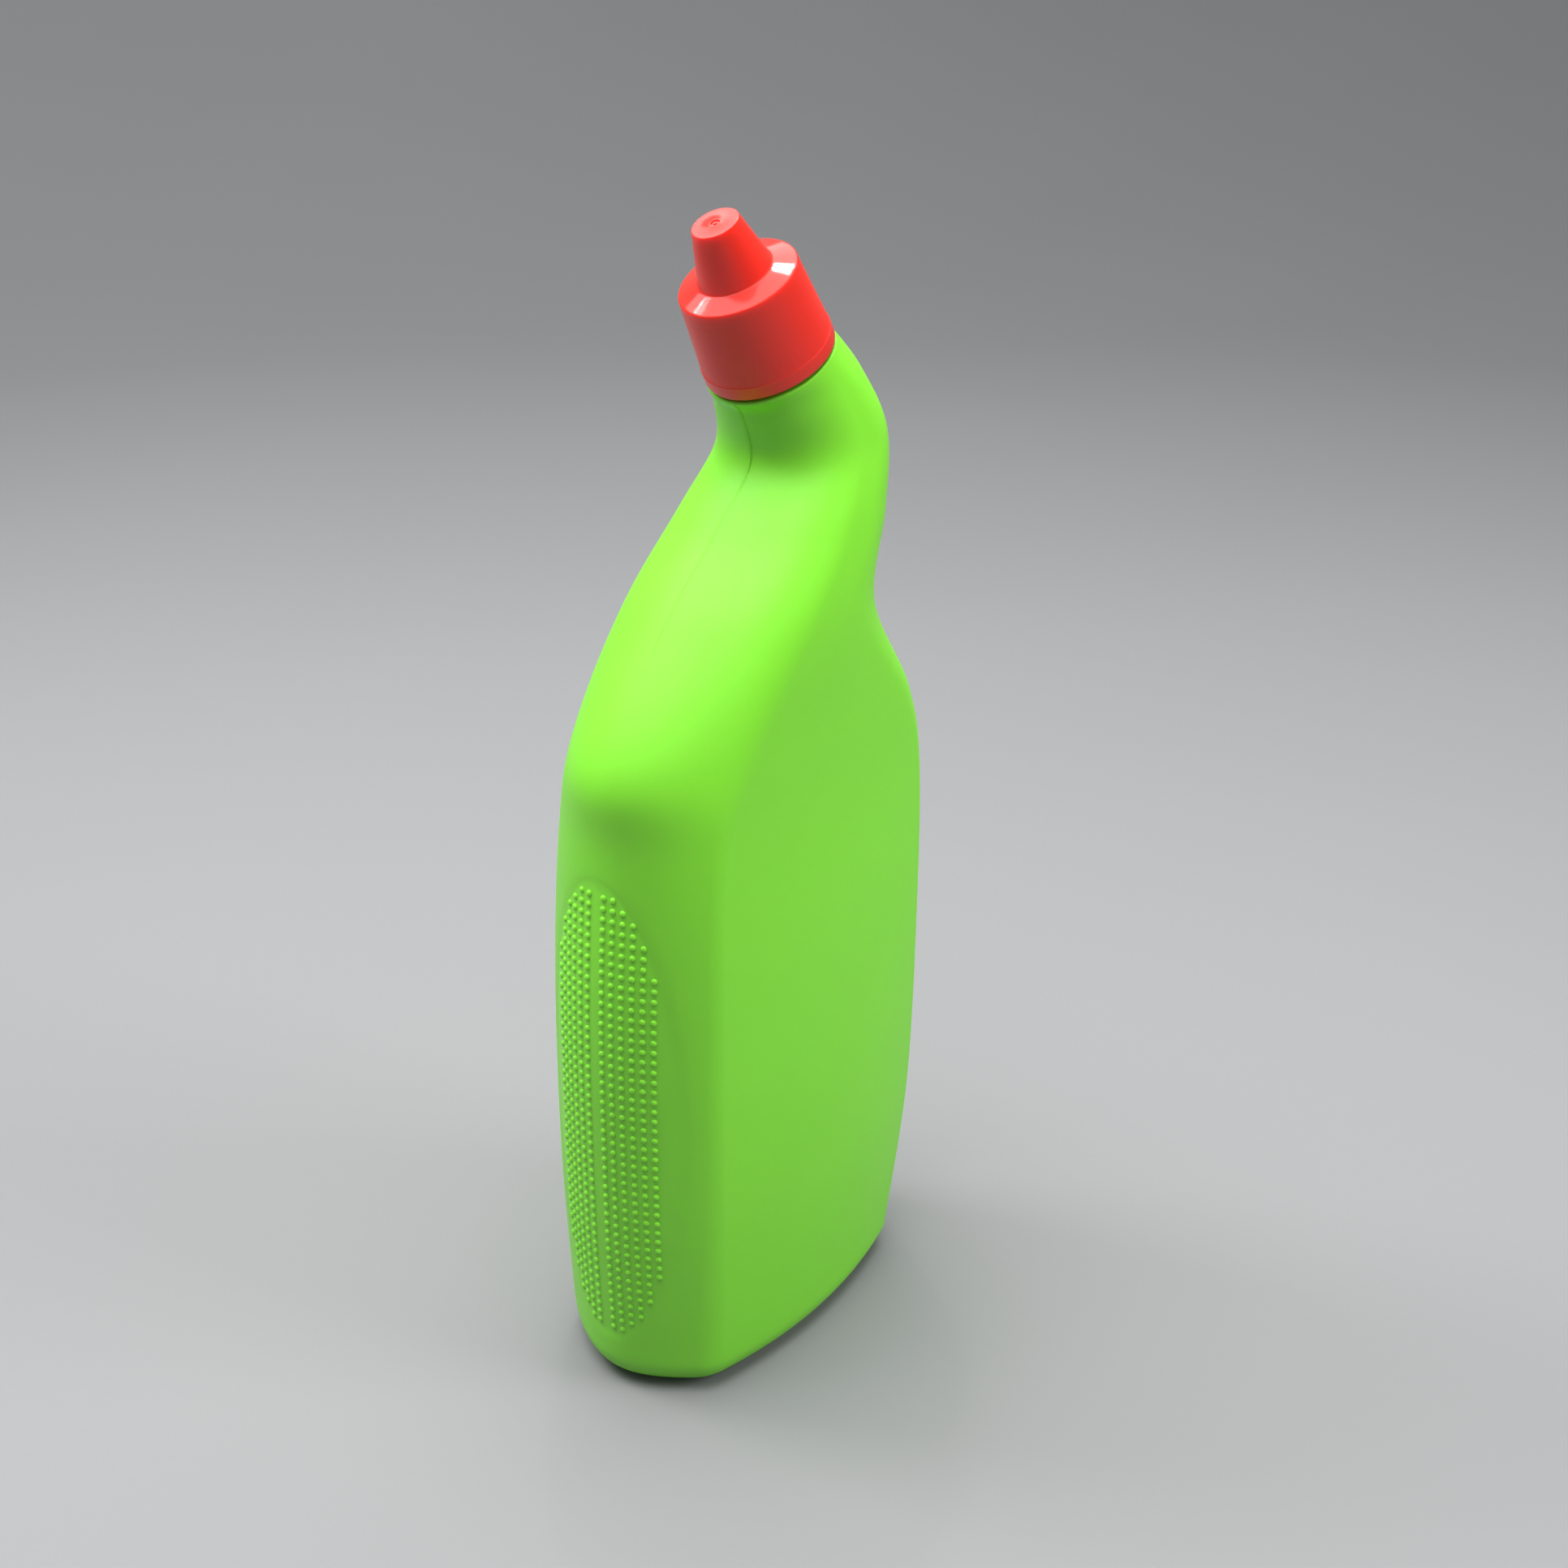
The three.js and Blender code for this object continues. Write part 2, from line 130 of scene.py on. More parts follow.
HEEL_RADIUS = 8.5
FOOT_WIDTH = 2.5
LEVELS = (
    body_level(-51.85, 41.25, HEEL_RADIUS, 38.8, 8.6, ends=(15.4, 11)),
    body_level(-52.25, 48.85, 50, 42.8, 8.3),
    body_level(-50.65, 51.55, 100, 44.9, 5.8),
    body_level(-46.95, 52.25, 138, 45.1, 3.3),
    level((-43.85, 157.8), (50.25, 157.8), 45.2, (21.2, 17.8), 1.22, 0.31, 2.9),
    level((-23.3, 183.05), (35, 181.75), 45.2, (20.4, 20.4), 1.32, 0.58, 2.9),
    level((-4.8, 201.2), (40.4, 203), 44.7, (19.3, 19.3), 1.23, 0.64, 0.5),
    level((6.7, 213.8), (43.2, 220.2), 38.8, (16.2, 16.2), 1, 0.95, 0),
    level((4.5, 224.5), (36, 234.3), 33.3, (15.5, 15.5), 1, 0.95, 0),
    level(ledge_point(-1), ledge_point(1), 2 * LEDGE_RADIUS, (15.1, 15.1), 1, 0.95, 0),
)
# Rings of the skin between one level and the next
RINGS_BETWEEN = (36, 42, 34, 18, 22, 18, 14, 12, 10)
INNER_RINGS_BETWEEN = (4, 4, 4, 4, 5, 4, 4, 4, 4)

# Directions round a section, in degrees: close together at the mould seam, where it is raised
SEAM_ANGLES = (0, 0.6, 1.2, 1.8)
FRONT_STEP = 2.5
BACK_STEP = 5
FACE_STEPS = 12
LONGEST_END = 0.97
END_SHRINK = 0.6

# Mould seam: its height to each side of its middle, as shares, and where it fades on the shoulder
SEAM_SHARES = ((-2, -0.25), (-1, 0.45), (0, 1.0), (1, 0.45), (2, -0.25))
SEAM_LEAST = 0.05
SEAM_FADE_HEIGHT = 168 * MM
SEAM_FADE_LENGTH = 22 * MM

# Oval grip: its dots, and the panel round them that is let into the skin
GRIP_CENTRE = 73.2 * MM
GRIP_HALF_HEIGHT = 58.5 * MM
GRIP_HALF_WIDTH = 20.6 * MM
GRIP_TOP_LEVEL = 4
DOT_ROWS = 46
DOT_COLUMNS = 6
# A dot from its foot under the skin to its top, in shares of its radius and height
DOME_PROFILE = ((1.12, -0.5), (1.04, 0.02), (0.96, 0.32), (0.8, 0.68), (0.48, 0.92), (0.0, 1.0))
DOME_SIDES = 10
# Halvings in the search for the share of the way up that gives a height
HALVINGS = 30
PANEL_MARGIN = 2.2 * MM
PANEL_EDGE = 0.045
PANEL_HALF_HEIGHT = GRIP_HALF_HEIGHT + PANEL_MARGIN
PANEL_HALF_WIDTH = GRIP_HALF_WIDTH + PANEL_MARGIN
PANEL_HALF_DEPTH = 19.4 * MM

# Base: how far in from the standing ring each ring lies, and its share of the recess's height
RECESS_RINGS = ((12 * MM, 1), (3.4 * MM, 1), (2.6 * MM, 0.93), (0.5 * MM, 0.1), (0, 0))
HEEL_STEPS = 12
INNER_HEEL_STEPS = 3

# Neck finish: divisions of its rounded edges, the small bevel in the mouth, and how far the inner
# skin stands in from the ledge
LEDGE_STEPS = 8
LIP_STEPS = 4
MOUTH_BEVEL = 0.15
LEDGE_WALL = 1.2
LEDGE_FLOOR = 1

# Section of the thread, in millimetres, and the share of its climb over which it runs out
THREAD_ROOT = 0.95
THREAD_CREST = 0.3
THREAD_SINK = 0.2
THREAD_RUN_OUT = 0.12
THREAD_STEPS_PER_TURN = 96
# A point of the thread further out than this from its root, in metres, belongs to its crest
CREST_MARGIN = 1e-5

# Where the masks of the plastics begin and end: the scuffs in their noise, the grip panel in
# shares of its oval and along X, its painted highlight (a paler upper part) along Z and Y, and
# the cap's ribs, shoulder and nose along the neck
SCUFF_EDGE = (0.68, 0.78)
PANEL_RIM = (0.97, 1.0)
PANEL_BACK = (-32 * MM, -30 * MM)
PAINTED_HIGHLIGHT_RISE = (70 * MM, 125 * MM)
PAINTED_HIGHLIGHT_DEPTH = (-20 * MM, -6 * MM)
RIB_COUNT = 150
RIB_FOOT = (3.1 * MM, 3.4 * MM)
RIB_TOP = (4 * MM, 11 * MM)
SHOULDER_EDGE = (20.1 * MM, 20.4 * MM)
NOSE_EDGE = (22 * MM, 22.6 * MM)

# Edges sharper than this are shaded as edges
SHARP_ANGLE = math.radians(38)
MERGE_DISTANCE = 1e-7
LATHE_MERGE_DISTANCE = 2e-6
ROUNDING_STEPS = 4


def spline(points, share):
    """A point on a smooth line through the points, at a share of the way along."""
    last = len(points) - 1
    place = share * last
    low = min(int(place), last - 1)
    t = place - low
    before, start, end = points[max(low - 1, 0)], points[low], points[low + 1]
    after = points[min(low + 2, last)]
    leave, arrive = (end - before) / 2, (after - start) / 2
    return (
        (2 * start - 2 * end + leave + arrive) * t**3
        + (3 * end - 3 * start - 2 * leave - arrive) * t**2
        + leave * t
        + start
    )


def level_at(share):
    """The outline at a share of the way up from the heel to the ledge."""
    at = Level(*(spline(line, share) for line in zip(*LEVELS)))
    return at._replace(blunt=max(at.blunt, 1.0), bulge=max(at.bulge, 0.0))


def moved_in(at, depth, rise=0.0):
    """The same level a distance further in, and raised."""
    along = (at.back - at.front).normalized()
    up = Vector((0, rise))
    return at._replace(
        front=at.front + along * depth + up,
        back=at.back - along * depth + up,
        half=at.half - depth,
        front_end=max(at.front_end - depth * END_SHRINK, MM),
        back_end=max(at.back_end - depth * END_SHRINK, MM),
    )


def end_outline(blunt, corner, angles):
    """Points of one rounded end, each as a share of the end's length and of the half depth."""
    sweep = math.asin(min(1, (1 - corner) / (blunt - corner)))
    length = blunt - (blunt - corner) * math.cos(sweep)
    points = []
    for angle in angles:
        turn = math.radians(angle)
        if turn <= sweep:
            points.append(((blunt - blunt * math.cos(turn)) / length, blunt * math.sin(turn)))
        else:
            points.append((
                1 - corner * math.cos(turn) / length,
                (blunt - corner) * math.sin(sweep) + corner * math.sin(turn),
            ))
    return points


def spread(step):
    """Directions from the seam to square across it, a step apart."""
    return list(SEAM_ANGLES) + [step * i for i in range(1, round(90 / step) + 1)]


FRONT_ANGLES = spread(FRONT_STEP)
BACK_ANGLES = spread(BACK_STEP)


def section(at):
    """Closed ring of points round a level, from the front seam over the far side to the back."""
    span = at.back - at.front
    width = span.length
    along = span / width
    front_length = min(at.front_end, width / 2 * LONGEST_END)
    back_length = min(at.back_end, width / 2 * LONGEST_END)
    face = width - front_length - back_length
    side = [(s * front_length, y) for s, y in end_outline(at.blunt, at.corner, FRONT_ANGLES)]
    side += [(front_length + face * i / FACE_STEPS, 1.0) for i in range(1, FACE_STEPS)]
    back = end_outline(at.blunt, at.corner, BACK_ANGLES)
    side += [(width - s * back_length, y) for s, y in reversed(back)]
    points = []
    for s, y in side:
        off_centre = abs(2 * s / width - 1)
        points.append((s, y * (at.half + at.bulge * (1 - off_centre**2))))
    points += [(s, -y) for s, y in points[-2:0:-1]]
    return [Vector((at.front.x + along.x * s, y, at.front.y + along.y * s)) for s, y in points]


def neck_ring(radius, height):
    """A ring round the neck, in millimetres, at a height above the foot of its axis."""
    centre = NECK @ Vector((0, 0, height * MM))
    side = (NECK.to_3x3() @ Vector((radius, 0, 0))) * MM
    flat = Vector((side.x, side.z))
    middle = Vector((centre.x, centre.z))
    size = radius * MM
    return section(Level(middle - flat, middle + flat, size, size, size, 1, ROUND_CORNER, 0))


def distances(ring):
    """How far each point lies along the skin from the front seam."""
    count = len(ring)
    half = count // 2
    out = [0.0] * count
    for i in range(1, half + 1):
        out[i] = out[i - 1] + (ring[i] - ring[i - 1]).length
    for i in range(half + 1, count):
        out[i] = out[count - i]
    return out


def smooth(value):
    """0 below 0, 1 above 1, and a soft step between."""
    value = min(max(value, 0.0), 1.0)
    return value * value * (3 - 2 * value)


class BottleSizes(bpy.types.PropertyGroup):
    """Sizes of the bottle."""

    wall: FloatProperty(
        name="Wall", description="Thickness of the blown wall", default=1 * MM, unit="LENGTH"
    )
    base_recess: FloatProperty(
        name="Base recess", description="How far the middle of the base is raised",
        default=2.2 * MM, unit="LENGTH",
    )
    seam_height: FloatProperty(
        name="Seam height", description="How far the mould seam stands out",
        default=0.24 * MM, unit="LENGTH",
    )
    panel_depth: FloatProperty(
        name="Grip panel depth", description="How far the oval grip panel is let in",
        default=0.25 * MM, unit="LENGTH",
    )
    thread_depth: FloatProperty(
        name="Thread depth", description="How far the neck's thread stands out",
        default=THREAD_DEPTH * MM, unit="LENGTH",
    )


class DotSizes(bpy.types.PropertyGroup):
    """Sizes of the raised grip dots."""

    pitch: FloatProperty(
        name="Row pitch", description="Distance between the rows", default=2.5 * MM,
        unit="LENGTH",
    )
    column_pitch: FloatProperty(
        name="Column pitch", description="Distance between the columns along the skin",
        default=2.55 * MM, unit="LENGTH",
    )
    seam_gap: FloatProperty(
        name="Seam gap", description="Distance between the columns on both sides of the seam",
        default=4.34 * MM, unit="LENGTH",
    )
    radius: FloatProperty(
        name="Dot radius", description="Radius of a dot where it leaves the skin",
        default=0.78 * MM, unit="LENGTH",
    )
    height: FloatProperty(
        name="Dot height", description="How far a dot stands out", default=0.52 * MM,
        unit="LENGTH",
    )


class Colours(bpy.types.PropertyGroup):
    """Colours of the plastics and the floor."""

    bottle: FloatVectorProperty(
        name="Bottle", description="Green of the bottle", subtype="COLOR",
        default=(0.195, 0.65, 0.03), min=0, max=1,
    )
    cap: FloatVectorProperty(
        name="Cap", description="Red of the cap", subtype="COLOR",
        default=(0.76, 0.028, 0.016), min=0, max=1,
    )
    plug: FloatVectorProperty(
        name="Plug", description="Milky white of the plug", subtype="COLOR",
        default=(0.74, 0.75, 0.7), min=0, max=1,
    )
    floor: FloatVectorProperty(
        name="Floor", description="Grey of the floor", subtype="COLOR",
        default=(0.21, 0.211, 0.214), min=0, max=1,
    )


class Value:
    """A number that varies over a surface. An expression on it adds Math nodes."""

    def __init__(self, finish, socket):
        self.finish = finish
        self.socket = socket

    def maths(self, operation, *values):
        return self.finish.maths(operation, self, *values)

    def __add__(self, other):
        return self.maths("ADD", other)

    __radd__ = __add__

    def __mul__(self, other):
        return self.maths("MULTIPLY", other)

    __rmul__ = __mul__

    def __sub__(self, other):
        return self.maths("SUBTRACT", other)

    def __rsub__(self, other):
        return self.finish.maths("SUBTRACT", other, self)


class Finish:
    """A material of one plastic or of the floor, made of nodes."""

    def __init__(self, name):
        self.material = bpy.data.materials.new(name)
        self.material.use_nodes = True
        self.tree = self.material.node_tree
        self.shader = self.tree.nodes["Principled BSDF"]

    def node(self, kind, settings=None, inputs=None, output=0):
        """A node with its settings made first and then its sockets, as a value."""
        node = self.tree.nodes.new(kind)
        for name, setting in (settings or {}).items():
            setattr(node, name, setting)
        for name, given in (inputs or {}).items():
            self.join(given, node.inputs[name])
        return Value(self, node.outputs[output])

    def join(self, given, socket):
        """Links a value to a socket, or sets a number or colour on it."""
        if isinstance(given, Value):
            self.tree.links.new(given.socket, socket)
        else:
            socket.default_value = given

    def maths(self, operation, *values):
        return self.node("ShaderNodeMath", {"operation": operation}, dict(enumerate(values)))

    def noise(self, place, scale, detail=2.0):
        """Soft noise, with about as many features in a metre as its scale."""
        inputs = {"Vector": place, "Scale": scale, "Detail": detail}
        return self.node("ShaderNodeTexNoise", {}, inputs)

    def step(self, value, low, high):
        """0 below low, 1 above high and a soft step between."""
        settings = {"interpolation_type": "SMOOTHSTEP"}
        return self.node(
            "ShaderNodeMapRange", settings, {"Value": value, "From Min": low, "From Max": high}
        )

    def mix(self, factor, first, second):
        """A colour between two colours."""
        settings = {"data_type": "RGBA"}
        return self.node(
            "ShaderNodeMix", settings, {0: factor, 6: first, 7: second}, output=2
        )

    def place(self):
        """Where a point of the piece is, in metres."""
        return self.node("ShaderNodeTexCoord", output=3)

    def neck_place(self, place):
        """Where a point is in the neck's own frame."""
        inputs = {
            "Vector": place, "Location": NECK_BASE, "Rotation": (0, -NECK_LEAN, 0),
        }
        return self.node("ShaderNodeMapping", {"vector_type": "TEXTURE"}, inputs)

    def split(self, place):
        """The three numbers of a place."""
        node = self.node("ShaderNodeSeparateXYZ", {}, {0: place}).socket.node
        return [Value(self, socket) for socket in node.outputs]

    def bump(self, height, distance):
        """A normal bent by a height. The distance is how high a height of 1 is, in metres."""
        return self.node("ShaderNodeBump", {}, {"Distance": distance, "Height": height})

    def shade(self, **given):
        """Sets the shader's sockets, named with underscores."""
        for name, value in given.items():
            self.join(value, self.shader.inputs[name.replace("_", " ")])
        return self.material


def colour(values, gain=1.0):
    """A colour for a socket, lighter or darker by a gain."""
    return (*(min(value * gain, 1.0) for value in values), 1.0)


def green_plastic(colours):
    """Satin blown polyethylene: faint clouding, fine grain, a few scuffs, a painted highlight on
    the grip panel.
    """
    finish = Finish("green blown plastic")
    place = finish.place()
    cloud = finish.noise(place, 22, 3)
    grain = finish.noise(place, 2600, 2)
    ripple = finish.noise(place, 130, 2)
    scuff_map = finish.node(
        "ShaderNodeMapping", {}, {"Vector": place, "Scale": (900, 900, 60)}
    )
    scuff = finish.step(finish.noise(scuff_map, 1, 2), *SCUFF_EDGE)
    green = finish.mix(cloud, colour(colours.bottle, 0.95), colour(colours.bottle, 1.05))
    across, depth, rise = finish.split(place)
    reach = finish.maths(
        "SQRT",
        finish.maths("POWER", depth * (1 / PANEL_HALF_DEPTH), 2)
        + finish.maths("POWER", (rise - GRIP_CENTRE) * (1 / PANEL_HALF_HEIGHT), 2),
    )
    panel = (1 - finish.step(reach, *PANEL_RIM)) * (1 - finish.step(across, *PANEL_BACK))
    # Painted highlight: the upper, near part of the grip panel is painted paler, standing in for
    # the light it catches
    painted_panel_highlight = panel * finish.step(rise, *PAINTED_HIGHLIGHT_RISE) * finish.step(depth, *PAINTED_HIGHLIGHT_DEPTH)
    green = finish.mix(painted_panel_highlight * 0.8, green, colour(colours.bottle, 1.18))
    height = grain * 0.6 + ripple * 1.2 - scuff * 0.35
    return finish.shade(
        Base_Color=green,
        Roughness=0.4 + cloud * 0.08 + scuff * 0.06 - panel * 0.05,
        Normal=finish.bump(height, 0.012 * MM),
        Subsurface_Weight=0.12,
        Subsurface_Radius=(0.35, 1.0, 0.2),
        Subsurface_Scale=1.5 * MM,
        IOR=1.5,
    )


def red_plastic(colours):
    """Moulded polypropylene, glossier than the bottle, with faint ribs above the hem."""
    finish = Finish("red moulded plastic")
    place = finish.place()
    across, depth, height = finish.split(finish.neck_place(place))
    turn = finish.maths("ARCTAN2", depth, across)
    ribs = finish.maths("SINE", turn * RIB_COUNT)
    band = finish.step(height, *RIB_FOOT) * (1 - finish.step(height, *RIB_TOP))
    matt = 1 - finish.step(height, *SHOULDER_EDGE)
    nose = finish.step(height, *NOSE_EDGE)
    cloud = finish.noise(place, 60, 3)
    grain = finish.noise(place, 3000, 2)
    red = finish.mix(cloud, colour(colours.cap, 0.94), colour(colours.cap, 1.04))
    relief = grain * 0.25 + ribs * band * 1.6 + cloud * 0.8
    return finish.shade(
        Base_Color=red,
        Roughness=0.07 + cloud * 0.04 + matt * 0.24 + nose * 0.1 + band * 0.06,
        Normal=finish.bump(relief, 0.012 * MM),
        Subsurface_Weight=0.6,
        Subsurface_Radius=(1.0, 0.25, 0.15),
        Subsurface_Scale=4 * MM,
        IOR=1.49,
    )


def milky_plastic(colours):
    """Natural polyethylene that lets some light in."""
    finish = Finish("natural plug plastic")
    place = finish.place()
    cloud = finish.noise(place, 90, 2)
    grain = finish.noise(place, 2200, 2)
    milky = finish.mix(cloud, colour(colours.plug, 0.95), colour(colours.plug, 1.04))
    return finish.shade(
        Base_Color=milky,
        Roughness=0.38 + cloud * 0.08,
        Normal=finish.bump(grain, 0.01 * MM),
        Subsurface_Weight=0.3,
        Subsurface_Radius=(1.0, 1.0, 0.9),
        Subsurface_Scale=2 * MM,
        IOR=1.51,
    )


def floor_paper(colours):
    """Matt grey paper, faintly blotched."""
    finish = Finish("floor paper")
    place = finish.place()
    grain = finish.noise(place, 700, 3)
    blot = finish.noise(place, 2.5, 2)
    grey = finish.mix(blot, colour(colours.floor, 0.97), colour(colours.floor, 1.03))
    return finish.shade(
        Base_Color=grey,
        Roughness=0.62 + grain * 0.1,
        Normal=finish.bump(grain, 0.02 * MM),
        Specular_IOR_Level=0.35,
    )


def add_piece(name, bm, material, body, node):
    """Makes a piece of a finished bmesh, hangs it on its body and hides the CAD node it stands
    for.
    """
    mesh = bpy.data.meshes.new(name)
    bm.to_mesh(mesh)
    bm.free()
    mesh.polygons.foreach_set("use_smooth", [True] * len(mesh.polygons))
    mesh.set_sharp_from_angle(angle=SHARP_ANGLE)
    mesh.materials.append(material)
    piece = bpy.data.objects.new(name, mesh)
    bpy.context.scene.collection.objects.link(piece)
    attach(piece, body)
    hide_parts(node)


def wrap_rings(bm, rings):
    """A closed skin: a grid laid over a stack of rings, joined at its seam and closed by flats."""
    count = len(rings[0])
    bmesh.ops.create_grid(bm, x_segments=count, y_segments=len(rings) - 1, size=1)
    bm.verts.ensure_lookup_table()
    for row, ring in enumerate(rings):
        for i in range(count + 1):
            bm.verts[row * (count + 1) + i].co = ring[i % count]
    bmesh.ops.remove_doubles(bm, verts=bm.verts, dist=MERGE_DISTANCE)
    open_edges = [edge for edge in bm.edges if edge.is_boundary]
    bmesh.ops.holes_fill(bm, edges=open_edges, sides=0)
    bmesh.ops.recalc_face_normals(bm, faces=bm.faces)


def lathe(bm, profile, steps):
    """Turns a profile round the neck. Each corner is radius, height and rounding, in mm."""
    corners = [bm.verts.new((r * MM, 0, h * MM)) for r, h, _ in profile]
    ends = [corner for corner, (r, _, _) in zip(corners, profile) if r == 0]
    pairs = list(zip(corners, corners[1:]))
    if not ends:
        pairs.append((corners[-1], corners[0]))
    for pair in pairs:
        bm.edges.new(pair)
    for corner, (_, _, rounding) in zip(corners, profile):
        if rounding:
            bmesh.ops.bevel(
                bm, geom=[corner], offset=rounding * MM, offset_type="OFFSET",
                segments=ROUNDING_STEPS, profile=0.5, affect="VERTICES", material=-1,
            )
    bmesh.ops.spin(
        bm, geom=bm.verts[:] + bm.edges[:], cent=(0, 0, 0), axis=(0, 0, 1), dvec=(0, 0, 0),
        angle=2 * math.pi, steps=steps, use_merge=True, use_duplicate=False,
    )
    bmesh.ops.remove_doubles(bm, verts=bm.verts, dist=LATHE_MERGE_DISTANCE)
    bmesh.ops.recalc_face_normals(bm, faces=bm.faces)
    bmesh.ops.transform(bm, matrix=NECK, verts=bm.verts)


def let_in_panel(ring, depth):
    """Moves the part of a ring that lies in the oval grip panel in by the panel's depth."""
    count = len(ring)
    out = []
    for i, (point, along) in enumerate(zip(ring, distances(ring))):
        run = ring[(i + 1) % count] - ring[i - 1]
        outward = Vector((-run.y, run.x, 0)).normalized()
        reach = math.hypot(
            along / PANEL_HALF_WIDTH, (point.z - GRIP_CENTRE) / PANEL_HALF_HEIGHT
        )
        out.append(point - outward * depth * smooth((1 - reach) / PANEL_EDGE))
    return out


def raise_seam(ring, height):
    """Raises the mould seam at the front and the back of a ring."""
    count = len(ring)
    half = count // 2
    out = list(ring)
    middle = (ring[0] + ring[half]) / 2
    for centre in (0, half):
        outward = (ring[centre] - middle).normalized()
        for offset, share in SEAM_SHARES:
            i = (centre + offset) % count
            out[i] = ring[i] + outward * height * share
    return out


def wall_shares(rings_between):
    """Shares of the way up at which the wall has a ring."""
    last = len(LEVELS) - 1
    return [
        (low + i / steps) / last for low, steps in enumerate(rings_between) for i in range(steps)
    ]


def foot_rings(sizes, offset, steps):
    """Rings from the base recess out over the standing ring and up round the heel."""
    foot = level_at(0)
    heel = HEEL_RADIUS * MM
    reach = heel + FOOT_WIDTH * MM + offset
    rings = [
        section(moved_in(foot, reach + inset, offset + sizes.base_recess * share - heel))
        for inset, share in RECESS_RINGS
    ]
    for i in range(steps):
        turn = math.pi / 2 * i / steps
        depth = offset + (heel - offset) * (1 - math.sin(turn))
        height = heel - (heel - offset) * math.cos(turn)
        rings.append(section(moved_in(foot, depth, height - heel)))
    return rings


def finish_rings():
    """Rings round the ledge, up the neck finish, over its lip and down the mouth."""
    rings = []
    for i in range(LEDGE_STEPS + 1):
        turn = math.pi / 2 * i / LEDGE_STEPS
        rings.append(neck_ring(
            LEDGE_RADIUS - LEDGE_ROUND * (1 - math.cos(turn)),
            -HEM_GAP - LEDGE_ROUND * (1 - math.sin(turn)),
        ))
    lip = FINISH_BEVEL
    profile = [(FINISH_RADIUS + lip, -HEM_GAP), (FINISH_RADIUS, -HEM_GAP + lip)]
    for i in range(LIP_STEPS + 1):
        turn = math.pi / 2 * i / LIP_STEPS
        profile.append((
            FINISH_RADIUS - lip * (1 - math.cos(turn)),
            FINISH_HEIGHT - lip * (1 - math.sin(turn)),
        ))
    profile += [
        (MOUTH_RADIUS + MOUTH_BEVEL, FINISH_HEIGHT), (MOUTH_RADIUS, FINISH_HEIGHT - MOUTH_BEVEL),
        (MOUTH_RADIUS, -HEM_GAP - LEDGE_FLOOR),
        (LEDGE_RADIUS - LEDGE_WALL, -HEM_GAP - LEDGE_ROUND - LEDGE_FLOOR),
    ]
    return rings + [neck_ring(radius, height) for radius, height in profile]


def seam_share(point):
    """How much of the seam shows at a point: it fades down the shoulder."""
    rise = smooth((point.z - SEAM_FADE_HEIGHT) / SEAM_FADE_LENGTH)
    return SEAM_LEAST + (1 - SEAM_LEAST) * rise


def place_on_grip(along, height):
    """A point on the front of the body, and its outward direction."""

    def skin(height):
        """The point at a height on the near side of the seam, and the way along the ring."""
        low, high = 0.0, GRIP_TOP_LEVEL / (len(LEVELS) - 1)
        fronts = [at.front for at in LEVELS]
        for _ in range(HALVINGS):
            middle = (low + high) / 2
            if spline(fronts, middle).y < height:
                low = middle
            else:
                high = middle
        ring = section(level_at(low))
        left = abs(along)
        i = 0
        while left > (ring[i + 1] - ring[i]).length:
            left -= (ring[i + 1] - ring[i]).length
            i += 1
        run = (ring[i + 1] - ring[i]).normalized()
        return ring[i] + run * left, run

    point, run = skin(height)
    above, _ = skin(height + MM)
    if along < 0:
        for vector in (point, run, above):
            vector.y = -vector.y
        run = -run
    up = (above - point).normalized()
    outward = up.cross(run).normalized()
    return point, outward


def add_dots(bm, sizes, dots):
    """Adds the grip dots: low domes in an oval of rows and columns."""
    dome = bmesh.new()
    corners = [
        dome.verts.new((r * dots.radius, 0, h * dots.height)) for r, h in DOME_PROFILE
    ]
    for pair in zip(corners, corners[1:]):
        dome.edges.new(pair)
    bmesh.ops.spin(
        dome, geom=dome.verts[:] + dome.edges[:], cent=(0, 0, 0), axis=(0, 0, 1),
        dvec=(0, 0, 0), angle=2 * math.pi, steps=DOME_SIDES, use_merge=True,
        use_duplicate=False,
    )
    bmesh.ops.remove_doubles(dome, verts=dome.verts, dist=MERGE_DISTANCE)
    bmesh.ops.holes_fill(dome, edges=[e for e in dome.edges if e.is_boundary], sides=0)
    bmesh.ops.recalc_face_normals(dome, faces=dome.faces)
    dome_mesh = bpy.data.meshes.new("dome")
    dome.to_mesh(dome_mesh)
    dome.free()
    for column in range(DOT_COLUMNS):
        along = dots.seam_gap / 2 + column * dots.column_pitch
        reach = GRIP_HALF_HEIGHT * math.sqrt(1 - (along / GRIP_HALF_WIDTH) ** 2)
        for row in range(DOT_ROWS):
            offset = (row - (DOT_ROWS - 1) / 2) * dots.pitch
            if abs(offset) > reach:
                continue
            for side in (-1, 1):
                point, outward = place_on_grip(side * along, GRIP_CENTRE + offset)
                turn = outward.to_track_quat("Z", "Y").to_matrix().to_4x4()
                foot = Matrix.Translation(point - outward * sizes.panel_depth)
                dot = dome_mesh.copy()
                dot.transform(foot @ turn)
                bm.from_mesh(dot)
                bpy.data.meshes.remove(dot)
    bpy.data.meshes.remove(dome_mesh)


